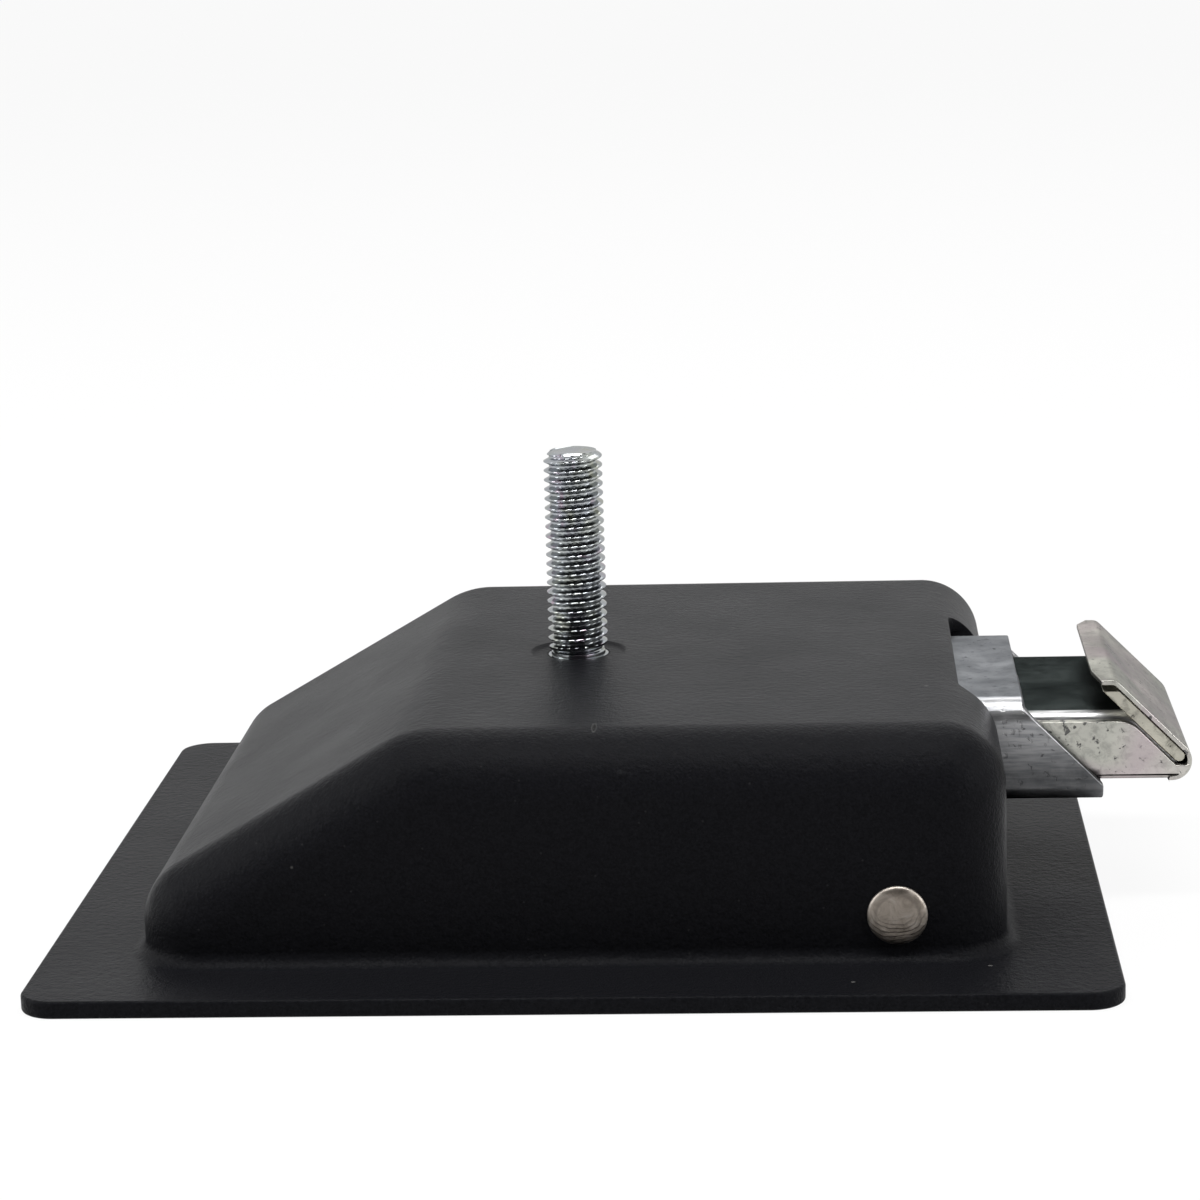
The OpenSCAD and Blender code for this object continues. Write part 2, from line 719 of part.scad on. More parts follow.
module paddle() {
    rim_top = paddle_z + paddle_rim_h;
    l = paddle_right + paddle_left;
    ear_y = paddle_w / 2 - paddle_t / 2;
    color([0.27, 0.27, 0.28])
        difference() {
            union() {
                difference() {
                    rounded_tray(-paddle_left, paddle_right, paddle_w, paddle_z, rim_top, paddle_r);
                    rounded_tray(-paddle_left + paddle_t, paddle_right - paddle_t, paddle_w - 2 * paddle_t,
                        paddle_z + paddle_t, rim_top + 5, paddle_r - paddle_t);
                }
                // Ears for the pivot pin
                for (s = [-1, 1])
                    across(paddle_t, s * ear_y)
                        ear_outline(paddle_z + paddle_r);
            }
            bar(pivot_bore_d, paddle_w + 2, pivot_x, pivot_z);
        }
}

// Ear with a round top over a wide root
module ear_outline(root_z) {
    translate([pivot_x, pivot_z])
        circle(ear_r);
    polygon([
        [pivot_x - ear_r, pivot_z], [pivot_x - ear_r - 5, root_z],
        [paddle_right - 0.4, root_z], [pivot_x + ear_r, pivot_z]
    ]);
}

// Tray: rounded plan corners, bottom edges rounded along both directions
module rounded_tray(x0, x1, w, z0, z1, r) {
    intersection() {
        translate([0, 0, z0])
            linear_extrude(z1 - z0)
                plan(x0, x1, w, r);
        across(w)
            tray_end(x0, x1, z0, z1, r);
        along(x0, x1)
            tray_end(-w / 2, w / 2, z0, z1, r);
    }
}

module tray_end(a, b, z0, z1, r) {
    translate([a, z0 + r])
        square([b - a, z1 - z0 - r]);
    translate([a + r, z0])
        square([b - a - 2 * r, r + 1]);
    for (c = [a + r, b - r])
        translate([c, z0 + r])
            circle(r);
}

// Forked cheek of the lever, standing on the paddle
module lever_cheek() {
    fork_in = (drive_d + drive_clear) / 2;
    fork_out = fork_in + prong_w;
    tip = drive_arm / cos(swing_half) + drive_d / 2 - 0.7;
    floor_r = drive_arm - drive_d / 2 - 0.5;
    base_top = paddle_z + paddle_t + lever_base_t;
    difference() {
        union() {
            translate([pivot_x, pivot_z])
                rotate(-swing_half) {
                    translate([-fork_out, 0])
                        square([2 * fork_out, tip - 1]);
                    for (s = [-1, 1])
                        translate([s * (fork_out - 1.1), tip - 1.1])
                            circle(1.1);
                    translate([-fork_out + 1.1, tip - 2])
                        square([2 * fork_out - 2.2, 2]);
                }
            translate([pivot_x, pivot_z])
                circle(ear_r);
            polygon([
                [pivot_x - ear_r, pivot_z], [pivot_x - ear_r - lever_foot, base_top - 1],
                [paddle_right - 3, base_top - 1], [pivot_x + ear_r, pivot_z]
            ]);
        }
        translate([pivot_x, pivot_z])
            rotate(-swing_half) {
                translate([-fork_in, floor_r + fork_in])
                    square([2 * fork_in, tip]);
                translate([0, floor_r + fork_in])
                    circle(fork_in);
            }
    }
}

module paddle_lever() {
    base_z = paddle_z + paddle_t;
    base_x0 = pivot_x - lever_base_l;
    color([0.6, 0.6, 0.61])
        difference() {
            union() {
                for (s = [-1, 1])
                    across(lever_t, s * (lever_w - lever_t) / 2)
                        lever_cheek();
                translate([base_x0, -lever_w / 2, base_z])
                    cube([paddle_right - 3 - base_x0, lever_w, lever_base_t]);
            }
            bar(pivot_bore_d, lever_w + 2, pivot_x, pivot_z);
            for (x = lever_rivet_xs)
                translate([pivot_x - x, 0, base_z - 1])
                    cylinder(d = lever_rivet_d + 0.1, h = lever_base_t + 2);
        }
}

// Studs welded to the paddle and peened over the lever's base
module lever_rivets() {
    base_z = paddle_z + paddle_t;
    color([0.5, 0.5, 0.5])
        for (x = lever_rivet_xs) {
            translate([pivot_x - x, 0, base_z])
                cylinder(d = lever_rivet_d, h = lever_base_t + eps);
            translate([pivot_x - x, 0, base_z + lever_base_t])
                cylinder(d1 = lever_rivet_d + 2.2, d2 = lever_rivet_d + 0.8, h = 1);
        }
}

// Long rivet through both side walls, with low domed heads
module pivot_pin() {
    color([0.55, 0.53, 0.5]) {
        bar(pivot_d, pan_w, pivot_x, pivot_z);
        for (s = [-1, 1])
            translate([pivot_x, s * pan_w / 2, pivot_z])
                rotate([-90 * s, 0, 0])
                    domed_head();
    }
}

module domed_head() {
    rotate_extrude()
        polygon([
            [0, -0.5], [pivot_d / 2, -0.5], [pivot_d / 2, 0.02], [pivot_head_d / 2, 0.02],
            [pivot_head_d / 2, pivot_head_h * 0.45],
            [pivot_head_d / 2 * 0.93, pivot_head_h * 0.72],
            [pivot_head_d / 2 * 0.72, pivot_head_h * 0.93], [0, pivot_head_h]
        ]);
}

// Tube on the pivot pin from y0 to y1. Three of them keep the lever in the middle and the paddle spring in its place
module spacer(y0, y1) {
    bore = pivot_d + 0.3;
    middle = (y0 + y1) / 2;
    color([0.65, 0.65, 0.65])
        difference() {
            bar(bore + 2 * spacer_wall, y1 - y0, pivot_x, pivot_z, middle);
            bar(bore, y1 - y0 + 2, pivot_x, pivot_z, middle);
        }
}

module long_spacer() {
    spacer(-spacer_outer, -spacer_inner);
}

module inner_spacer() {
    spacer(spacer_inner, paddle_spring_y - spring_end_gap);
}

module outer_spacer() {
    spacer(paddle_spring_y + paddle_spring_l + spring_end_gap, spacer_outer);
}

// Torsion spring on the pivot pin: one leg under the guide's lip, the other on the paddle's short side
module paddle_spring() {
    color([0.5, 0.51, 0.53])
        translate([pivot_x, paddle_spring_y, pivot_z])
            rotate([-90, 0, 0])
                coil(paddle_spring_d, paddle_wire_d, 90 + paddle_leg_deg, paddle_spring_sweep, paddle_spring_l,
                    leg_in = paddle_leg, leg_out = guide_leg);
}

pan();
mounting_stud();
bolt_guide();
bolt_shell();
bolt_core();
strike_doubler();
bolt_spring_seat();
drive_pin();
bolt_spring();
spring_stop();
paddle();
paddle_lever();
lever_rivets();
pivot_pin();
long_spacer();
inner_spacer();
outer_spacer();
paddle_spring();
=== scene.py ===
import math

import bmesh
import bpy
from mathutils import Matrix, Vector


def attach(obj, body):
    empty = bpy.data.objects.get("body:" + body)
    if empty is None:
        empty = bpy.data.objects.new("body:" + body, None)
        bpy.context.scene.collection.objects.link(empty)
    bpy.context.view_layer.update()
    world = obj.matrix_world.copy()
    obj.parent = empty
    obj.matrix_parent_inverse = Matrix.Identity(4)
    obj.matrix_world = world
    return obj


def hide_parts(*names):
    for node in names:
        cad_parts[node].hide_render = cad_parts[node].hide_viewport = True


MM = 0.001

# Axis of the pivot pin in mm, which runs along Y
PIVOT_X = 40.9
PIVOT_Z = -22

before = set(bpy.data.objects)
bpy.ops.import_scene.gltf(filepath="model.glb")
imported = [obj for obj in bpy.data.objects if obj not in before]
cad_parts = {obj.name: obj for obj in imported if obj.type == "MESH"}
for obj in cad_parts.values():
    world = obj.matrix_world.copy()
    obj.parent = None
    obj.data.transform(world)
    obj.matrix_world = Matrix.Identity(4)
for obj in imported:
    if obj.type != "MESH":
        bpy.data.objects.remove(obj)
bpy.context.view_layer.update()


# Node helpers

def new_material(name):
    """A material, its node tree and its Principled shader."""
    mat = bpy.data.materials.new(name)
    mat.use_nodes = True
    tree = mat.node_tree
    return mat, tree, tree.nodes["Principled BSDF"]


def add(tree, kind, **values):
    node = tree.nodes.new(kind)
    for key, value in values.items():
        setattr(node, key, value)
    return node


def feed(tree, socket, value):
    """Links a socket, or sets it to a colour or number."""
    if hasattr(value, "links"):
        tree.links.new(value, socket)
    elif isinstance(value, tuple):
        socket.default_value = (*value, 1)
    else:
        socket.default_value = value


def object_coords(tree, scale=(1, 1, 1)):
    """Coordinates in metres in the part's frame, stretched by scale."""
    coords = add(tree, "ShaderNodeTexCoord")
    mapping = add(tree, "ShaderNodeMapping")
    mapping.inputs["Scale"].default_value = scale
    tree.links.new(coords.outputs["Object"], mapping.inputs["Vector"])
    return mapping.outputs["Vector"]


def noise(tree, vector, scale, detail=3.0, rough=0.55, distortion=0.0):
    node = add(tree, "ShaderNodeTexNoise")
    node.inputs["Scale"].default_value = scale
    node.inputs["Detail"].default_value = detail
    node.inputs["Roughness"].default_value = rough
    node.inputs["Distortion"].default_value = distortion
    tree.links.new(vector, node.inputs["Vector"])
    return node.outputs["Fac"]


def cells(tree, vector, scale):
    """Distance to the nearest of many scattered points."""
    node = add(tree, "ShaderNodeTexVoronoi")
    node.inputs["Scale"].default_value = scale
    tree.links.new(vector, node.inputs["Vector"])
    return node.outputs["Distance"]


def ramp(tree, factor, stops):
    """Colour ramp of (position, colour) stops; a number stands for a grey."""
    node = add(tree, "ShaderNodeValToRGB")
    elements = node.color_ramp.elements
    while len(elements) < len(stops):
        elements.new(0.5)
    for element, (position, colour) in zip(elements, stops):
        if not isinstance(colour, tuple):
            colour = (colour, colour, colour)
        element.position = position
        element.color = (*colour, 1)
    tree.links.new(factor, node.inputs["Fac"])
    return node.outputs["Color"]


def map_range(tree, value, low, high, to_low, to_high):
    node = add(tree, "ShaderNodeMapRange")
    ends = {"From Min": low, "From Max": high, "To Min": to_low, "To Max": to_high}
    for name, number in ends.items():
        node.inputs[name].default_value = number
    tree.links.new(value, node.inputs["Value"])
    return node.outputs["Result"]


def maths(tree, operation, a, b=None):
    """A Math node on sockets or numbers."""
    node = add(tree, "ShaderNodeMath", operation=operation)
    feed(tree, node.inputs[0], a)
    if b is not None:
        feed(tree, node.inputs[1], b)
    return node.outputs[0]


def multiply(tree, a, b):
    return maths(tree, "MULTIPLY", a, b)


def blend_colours(tree, factor, a, b):
    """Mixes two colour sockets or colours by a socket or number."""
    node = add(tree, "ShaderNodeMix", data_type="RGBA")
    feed(tree, node.inputs[0], factor)
    feed(tree, node.inputs[6], a)
    feed(tree, node.inputs[7], b)
    return node.outputs[2]


def bump(tree, shader, layers):
    """Stacks bumps of (height socket, strength, distance in metres) under the shader's normal."""
    normal = None
    for height, strength, distance in layers:
        node = add(tree, "ShaderNodeBump")
        node.inputs["Strength"].default_value = strength
        node.inputs["Distance"].default_value = distance
        tree.links.new(height, node.inputs["Height"])
        if normal is not None:
            tree.links.new(normal, node.inputs["Normal"])
        normal = node.outputs["Normal"]
    tree.links.new(normal, shader.inputs["Normal"])


def distance_to(tree, vector, centre, squeeze=(1, 1, 1)):
    """Distance in metres from a point given in mm, with each axis scaled by squeeze."""
    less = add(tree, "ShaderNodeVectorMath", operation="SUBTRACT")
    tree.links.new(vector, less.inputs[0])
    less.inputs[1].default_value = [c * MM for c in centre]
    scaled = add(tree, "ShaderNodeVectorMath", operation="MULTIPLY")
    tree.links.new(less.outputs[0], scaled.inputs[0])
    scaled.inputs[1].default_value = squeeze
    length = add(tree, "ShaderNodeVectorMath", operation="LENGTH")
    tree.links.new(scaled.outputs[0], length.inputs[0])
    return length.outputs["Value"]


def near(tree, vector, centre, radius, squeeze=(1, 1, 1)):
    """1 at a point given in mm, falling to 0 at radius mm."""
    return map_range(tree, distance_to(tree, vector, centre, squeeze), 0, radius * MM, 1, 0)


# Materials

# Places in mm of the chip and the grain of dirt in the coat
NICK = (4.5, -40.5, -0.05)
NIB = (8.0, -46.8, -4.3)

# Middle in mm of the upper edge of the bolt's near wall, where its pits crowd
PITTED = (58, -17.6, -7)

# Width in mm over which the painted highlight on the bends fades in
BEND_HIGHLIGHT_BLEND = 0.5

# Middle in mm of the off-centre press rings on the pin's head, and of the area that shows them
RINGS = (40.6, 0, -20.9)
RING_AREA = (40.6, 0, -20.2)


def powder_coat():
    """Black satin coat: orange peel, fine grain, dust, and two small flaws near the top edge."""
    mat, tree, shader = new_material("powder_coat")
    v = object_coords(tree)
    peel = noise(tree, v, 1000, 2)
    grain = noise(tree, v, 3200, 3, 0.6)
    broad = noise(tree, v, 60, 3)
    base = ramp(tree, grain, [(0.3, (0.0044, 0.0045, 0.0054)), (0.75, (0.0096, 0.0098, 0.0116))])
    dust = ramp(tree, cells(tree, v, 95), [(0.0, 1.0), (0.022, 0.7), (0.03, 0.0)])
    base = blend_colours(tree, dust, base, (0.09, 0.088, 0.085))
    fine_dust = ramp(tree, cells(tree, v, 420), [(0.0, 1.0), (0.05, 0.5), (0.075, 0.0)])
    base = blend_colours(tree, multiply(tree, fine_dust, 0.25), base, (0.07, 0.07, 0.068))
    chip = near(tree, v, NICK, 0.55, (1.6, 0.3, 1))
    chip_floor = map_range(tree, chip, 0.25, 0.45, 0, 1)
    base = blend_colours(tree, chip_floor, base, (0.002, 0.002, 0.002))
    outer = map_range(tree, chip, 0.02, 0.1, 0, 1)
    inner = map_range(tree, chip, 0.2, 0.3, 1, 0)
    rim = multiply(tree, outer, inner)
    base = blend_colours(tree, multiply(tree, rim, 0.3), base, (0.16, 0.16, 0.155))
    tree.links.new(base, shader.inputs["Base Color"])
    tree.links.new(map_range(tree, broad, 0.3, 0.7, 0.31, 0.37), shader.inputs["Roughness"])
    shader.inputs["IOR"].default_value = 1.1
    nib = near(tree, v, NIB, 0.6)
    chip_height = maths(tree, "SUBTRACT", 1.0, chip)
    bump(tree, shader, [
        (peel, 0.6, 0.0002), (grain, 0.8, 0.00014), (nib, 0.8, 0.0003), (chip_height, 0.8, 0.0002),
    ])
    return mat


def painted_bend_highlight(tree, v, base, place, colour):
    """Painted highlight: bright streaks along X on the bends that lie over place mm from the XZ plane."""
    side = distance_to(tree, v, (0, 0, 0), (0, 1, 0))
    streak = noise(tree, object_coords(tree, (250, 2600, 2600)), 1.0, 2)
    bend = map_range(tree, side, place * MM, (place + BEND_HIGHLIGHT_BLEND) * MM, 0, 1)
    band = multiply(tree, bend, map_range(tree, streak, 0.35, 0.6, 0.35, 1))
    return blend_colours(tree, band, base, colour)


def painted_lower_shade(tree, v, base, blotch, start, full, share):
    """Painted shade: darker towards the bottom, from the height start in mm to its share at full."""
    split = add(tree, "ShaderNodeSeparateXYZ")
    tree.links.new(v, split.inputs[0])
    painted_shade = map_range(tree, split.outputs["Z"], full * MM, start * MM, share, 0)
    painted_shade = multiply(tree, painted_shade, map_range(tree, blotch, 0.3, 0.6, 1, 0.75))
    return blend_colours(tree, painted_shade, base, (0.03, 0.032, 0.035))


def matte_zinc(name, dark, light, rough=(0.42, 0.58), edge=0.6, mottled=0.3, tint=None, pits=None,
               bend_highlight=None, lower_shade=None):
    """Dull plated sheet: soft blotches, faint drawing lines along X, and a fine grain.

    edge is the metal's grey at grazing angles, mottled the strength of the dark speckle, tint a
    second hue, and pits the colour of small pits. bend_highlight is (place, colour) for
    painted_bend_highlight, a painted highlight on the bends, and lower_shade is (start, full, share)
    for painted_lower_shade, a painted shade low on the wall.
    """
    mat, tree, shader = new_material(name)
    v = object_coords(tree)
    blotch = noise(tree, v, 130, 5, 0.6, 0.6)
    lines = noise(tree, object_coords(tree, (60, 1400, 1400)), 1.0, 3)
    grain = noise(tree, v, 4200, 2)
    base = ramp(tree, blotch, [(0.3, dark), (0.7, light)])
    base = blend_colours(tree, map_range(tree, lines, 0.35, 0.75, 0, 0.2), base, dark)
    speckle = noise(tree, v, 800, 5, 0.7, 0.5)
    speckles = map_range(tree, speckle, 0.34, 0.52, mottled, 0)
    base = blend_colours(tree, speckles, base, tuple(c * 0.5 for c in dark))
    if tint:
        hue = noise(tree, v, 55, 2, 0.5, 1.2)
        base = blend_colours(tree, map_range(tree, hue, 0.42, 0.66, 0, 0.6), base, tint)
    layers = [
        (lines, 0.08, 0.00003), (grain, 0.15, 0.00002), (blotch, 0.12, 0.00012), (speckle, 0.25, 0.00005),
    ]
    if pits:
        crowd = multiply(tree, near(tree, v, PITTED, 6, (0.4, 1, 1.2)), 0.1)
        spots = maths(tree, "ADD", noise(tree, v, 900, 3, 0.6, 0.4), crowd)
        hole = map_range(tree, spots, 0.64, 0.69, 0, 1)
        base = blend_colours(tree, multiply(tree, hole, 0.85), base, pits)
        layers.append((maths(tree, "SUBTRACT", 1.0, hole), 0.35, 0.00006))
    # The bright streaks on the bends are a painted highlight.
    if bend_highlight:
        base = painted_bend_highlight(tree, v, base, *bend_highlight)
    # Darker towards the bottom of the wall: painted shade.
    if lower_shade:
        base = painted_lower_shade(tree, v, base, blotch, *lower_shade)
    tree.links.new(base, shader.inputs["Base Color"])
    shader.inputs["Metallic"].default_value = 1.0
    shader.inputs["Specular Tint"].default_value = (edge, edge, edge, 1)
    tree.links.new(map_range(tree, blotch, 0.3, 0.7, *rough), shader.inputs["Roughness"])
    bump(tree, shader, layers)
    return mat


def bright_zinc():
    """Glossy plated thread with faint blue, violet and yellow interference colours."""
    mat, tree, shader = new_material("bright_zinc")
    v = object_coords(tree)
    hue = noise(tree, v, 260, 2, 0.5, 1.0)
    base = ramp(tree, hue, [
        (0.3, (0.4, 0.41, 0.36)), (0.42, (0.4, 0.42, 0.41)),
        (0.6, (0.38, 0.4, 0.43)), (0.72, (0.43, 0.33, 0.39)),
    ])
    tree.links.new(base, shader.inputs["Base Color"])
    shader.inputs["Metallic"].default_value = 1.0
    scratch = noise(tree, object_coords(tree, (500, 500, 3000)), 1.0, 3)
    tree.links.new(map_range(tree, scratch, 0.3, 0.7, 0.1, 0.2), shader.inputs["Roughness"])
    shader.inputs["Specular Tint"].default_value = (0.7, 0.7, 0.7, 1)
    bump(tree, shader, [(scratch, 0.2, 0.00003)])
    return mat


def rivet_steel():
    """Warm grey steel, mottled, and ringed by the press on the pin's heads."""
    mat, tree, shader = new_material("rivet_steel")
    v = object_coords(tree)
    mottle = noise(tree, v, 620, 4, 0.65, 0.8)
    fine = noise(tree, v, 2600, 3)
    radius = distance_to(tree, v, (PIVOT_X, 0, PIVOT_Z), (1, 0, 1))
    wander = multiply(tree, noise(tree, v, 500, 2), 0.0009)
    offset = distance_to(tree, v, RINGS, (0.8, 0, 1))
    rings = maths(tree, "SINE", multiply(tree, maths(tree, "ADD", offset, wander), 13000.0))
    outward = distance_to(tree, v, RING_AREA, (0.7, 0, 1))
    low = map_range(tree, outward, 0.0018, 0.0038, 0, 0.75)
    base = ramp(tree, mottle, [
        (0.3, (0.2, 0.172, 0.145)), (0.55, (0.34, 0.3, 0.26)), (0.75, (0.44, 0.4, 0.36)),
    ])
    marks = multiply(tree, map_range(tree, rings, 0.3, 1, 0, 1), low)
    base = blend_colours(tree, marks, base, (0.07, 0.06, 0.052))
    rise = map_range(tree, radius, 0.0024, 0.0026, 0, 0.35)
    fall = map_range(tree, radius, 0.0027, 0.003, 1, 0)
    base = blend_colours(tree, multiply(tree, rise, fall), base, (0.1, 0.085, 0.075))
    rim = map_range(tree, radius, 0.0033, 0.0036, 0, 0.3)
    base = blend_colours(tree, rim, base, (0.5, 0.48, 0.45))
    tree.links.new(base, shader.inputs["Base Color"])
    shader.inputs["Metallic"].default_value = 1.0
    tree.links.new(map_range(tree, mottle, 0.3, 0.7, 0.36, 0.52), shader.inputs["Roughness"])
    bump(tree, shader, [(mottle, 0.4, 0.00014), (marks, 0.4, 0.00006), (fine, 0.25, 0.00004)])
    return mat


def spring_steel():
    """Drawn wire, grey and faintly streaked."""
    mat, tree, shader = new_material("spring_steel")
    drawn = noise(tree, object_coords(tree), 1500, 3)
    base = ramp(tree, drawn, [(0.3, (0.2, 0.2, 0.21)), (0.7, (0.36, 0.36, 0.37))])
    tree.links.new(base, shader.inputs["Base Color"])
    shader.inputs["Metallic"].default_value = 1.0
    tree.links.new(map_range(tree, drawn, 0.3, 0.7, 0.25, 0.4), shader.inputs["Roughness"])
    bump(tree, shader, [(drawn, 0.1, 0.00002)])
    return mat


coat = powder_coat()
# The guide's zinc is darker low on its wall as painted shade, and its bends carry a painted highlight.
guide_zinc = matte_zinc(
    "guide_zinc", dark=(0.2, 0.21, 0.225), light=(0.36, 0.37, 0.385), rough=(0.3, 0.42), edge=0.38,
    mottled=0.35, pits=(0.06, 0.06, 0.065), bend_highlight=(17.0, (0.55, 0.55, 0.56)), lower_shade=(-4.5, -12.5, 0.92))
bolt_zinc = matte_zinc(
    "bolt_zinc", dark=(0.42, 0.42, 0.385), light=(0.66, 0.655, 0.59), rough=(0.26, 0.4), edge=0.33,
    mottled=0.5, tint=(0.56, 0.46, 0.5), pits=(0.07, 0.07, 0.075))
layer_zinc = matte_zinc(
    "layer_zinc", dark=(0.4, 0.385, 0.33), light=(0.7, 0.68, 0.58), rough=(0.3, 0.42), edge=0.5,
    mottled=0.7, pits=(0.07, 0.065, 0.06))
# The core's zinc is nearly black as painted shade of the slot it lies in, and its bends carry a painted
# highlight.
core_zinc = matte_zinc(
    "core_zinc", dark=(0.055, 0.062, 0.061), light=(0.088, 0.098, 0.096), rough=(0.3, 0.42), edge=0.19,
    bend_highlight=(14.6, (0.68, 0.68, 0.68)))
inner_zinc = matte_zinc("inner_zinc", dark=(0.3, 0.31, 0.325), light=(0.44, 0.45, 0.465))
stud_zinc = bright_zinc()
raw_steel = rivet_steel()
wire_steel = spring_steel()

FINISHES = {
    "pan": coat,
    "paddle": coat,
    "bolt_guide": guide_zinc,
    "bolt_shell": bolt_zinc,
    "strike_doubler": layer_zinc,
    "bolt_core": core_zinc,
    "bolt_spring_seat": core_zinc,
    "spring_stop": inner_zinc,
    "long_spacer": inner_zinc,
    "inner_spacer": inner_zinc,
    "outer_spacer": inner_zinc,
    "paddle_lever": inner_zinc,
    "mounting_stud": stud_zinc,
    "drive_pin": raw_steel,
    "lever_rivets": raw_steel,
    "pivot_pin": raw_steel,
    "bolt_spring": wire_steel,
    "paddle_spring": wire_steel,
}
for node_name, finish in FINISHES.items():
    for material_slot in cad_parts[node_name].material_slots:
        material_slot.material = finish
for node_name in ("bolt_spring", "paddle_spring"):
    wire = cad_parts[node_name].data
    wire.polygons.foreach_set("use_smooth", [True] * len(wire.polygons))
    wire.set_sharp_from_angle(angle=math.radians(60))


# Mesh helpers

# Angles in degrees: from which a dressed edge is rounded, from which an edge stays sharp in
# shading, and up to which facets are merged
DRESSED_ANGLE = 35
SHARP_ANGLE = 50
THREAD_SHARP_ANGLE = 38
MERGE_ANGLE = 0.6


def new_piece(name, verts, faces, finish=None):
    """Mesh object from points in mm."""
    mesh = bpy.data.meshes.new(name)
    mesh.from_pydata([[c * MM for c in v] for v in verts], [], faces)
    obj = bpy.data.objects.new(name, mesh)
    bpy.context.collection.objects.link(obj)
    if finish:
        mesh.materials.append(finish)
    return obj


def apply_modifiers(obj):
    bpy.context.view_layer.update()
    evaluated = obj.evaluated_get(bpy.context.evaluated_depsgraph_get())
    result = bpy.data.meshes.new_from_object(evaluated)
    old = obj.data
    obj.modifiers.clear()
    obj.data = result
    bpy.data.meshes.remove(old)


def smooth(mesh, sharp_angle):
    """Smooth faces, with the edges over sharp_angle degrees left sharp."""
    mesh.polygons.foreach_set("use_smooth", [True] * len(mesh.polygons))
    mesh.set_sharp_from_angle(angle=math.radians(sharp_angle))


def shade(obj):
    """Smooth faces with normals that follow the large faces."""
    smooth(obj.data, SHARP_ANGLE)
    weighted = obj.modifiers.new("weighted", "WEIGHTED_NORMAL")
    weighted.keep_sharp = True
    weighted.weight = 70
    apply_modifiers(obj)


def round_edges(obj, width, angle):
    """Rounds every edge sharper than angle degrees by width mm."""
    edges = obj.modifiers.new("edges", "BEVEL")
    edges.limit_method = "ANGLE"
    edges.angle_limit = math.radians(angle)
    edges.width = width * MM
    edges.segments = 2
    edges.use_clamp_overlap = False
    edges.miter_outer = "MITER_ARC"
    apply_modifiers(obj)


def weld(form, distance):
    """Joins the vertices of a bmesh that lie within distance mm."""
    bmesh.ops.remove_doubles(form, verts=form.verts, dist=distance * MM)


def stand_in(obj, node, body):
    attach(obj, body)
    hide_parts(node)


def dressed(node, body, width):
    """A copy of a node's solid with its facets merged and its edges rounded by width mm."""
    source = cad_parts[node]
    mesh = bpy.data.meshes.new("dressed_" + node)
    form = bmesh.new()
    form.from_mesh(source.data)
    form.transform(source.matrix_world)
    weld(form, 0.002)
    bmesh.ops.dissolve_limit(
        form, angle_limit=math.radians(MERGE_ANGLE), verts=form.verts, edges=form.edges,
        delimit={"NORMAL"})
    form.to_mesh(mesh)
    form.free()
    obj = bpy.data.objects.new("dressed_" + node, mesh)
    bpy.context.collection.objects.link(obj)
    mesh.materials.clear()
    mesh.materials.append(FINISHES[node])
    mesh.polygons.foreach_set("material_index", [0] * len(mesh.polygons))
    round_edges(obj, width, DRESSED_ANGLE)
    shade(obj)
    stand_in(obj, node, body)


def cut(obj, tool, operation="DIFFERENCE"):
    """Cuts a tool out of a piece, or joins it on, and removes the tool."""
    step = obj.modifiers.new("cut", "BOOLEAN")
    step.operation = operation
    step.solver = "EXACT"
    step.object = tool
    apply_modifiers(obj)
    mesh = tool.data
    bpy.data.objects.remove(tool)
    bpy.data.meshes.remove(mesh)


def quarter(x, y, r, start, steps):
    """Points in plan on a quarter circle that begins at start degrees, both ends included."""
    angles = [math.radians(start + 90 * k / steps) for k in range(steps + 1)]
    return [(x + r * math.cos(a), y + r * math.sin(a)) for a in angles]


def circle(r, sides):
    """Points in plan round the origin."""
    angles = [math.tau * k / sides for k in range(sides)]
    return [(r * math.cos(a), r * math.sin(a)) for a in angles]


def closed_faces(n):
    """Faces of a solid between a low and a high loop of n points, counter-clockwise."""
    faces = [tuple(reversed(range(n))), tuple(range(n, 2 * n))]
    faces += [(i, (i + 1) % n, n + (i + 1) % n, n + i) for i in range(n)]
    return faces


def prism(outline, low, high):
    """Upright prism in mm over an outline in plan."""
    verts = [(x, y, z) for z in (low, high) for x, y in outline]
    return new_piece("tool", verts, closed_faces(len(outline)))


def cone(low_r, high_r, low, high):
    """Cone frustum in mm round the stud's axis."""
    sides = 96
    verts = [(x, y, z) for r, z in ((low_r, low), (high_r, high)) for x, y in circle(r, sides)]
    return new_piece("tool", verts, closed_faces(sides))


def pivot_bore(r, reach):
    """Cylinder in mm on the pivot pin's axis."""
    sides = 64
    verts = [(PIVOT_X + a, y, PIVOT_Z + b) for y in (-reach, reach) for a, b in circle(r, sides)]
    return new_piece("tool", verts, [tuple(reversed(face)) for face in closed_faces(sides)])


# Pan, sizes in mm

SHEET = 2.2
PAN_H = 30.0
PAN_LEFT = 52.1
PAN_RIGHT = 54.4
PAN_W = 95.4
PAN_R = 8.0

# The ramp at the left, and the radius of the turn above it
RAMP = math.radians(29.7)
RAMP_R = 12.0
RAMP_DROP = 19.2

FLANGE_LEFT = 64.5
FLANGE_RIGHT = 67.5
FLANGE_W = 121.0
FLANGE_R = 4.5
FLANGE_EDGE = 0.4
BEND_R = 1.85

# Facets of each rounding
CORNER_STEPS = 22
TURN_STEPS = 8
BEND_STEPS = 10
EDGE_STEPS = 4
SLOT_STEPS = 12

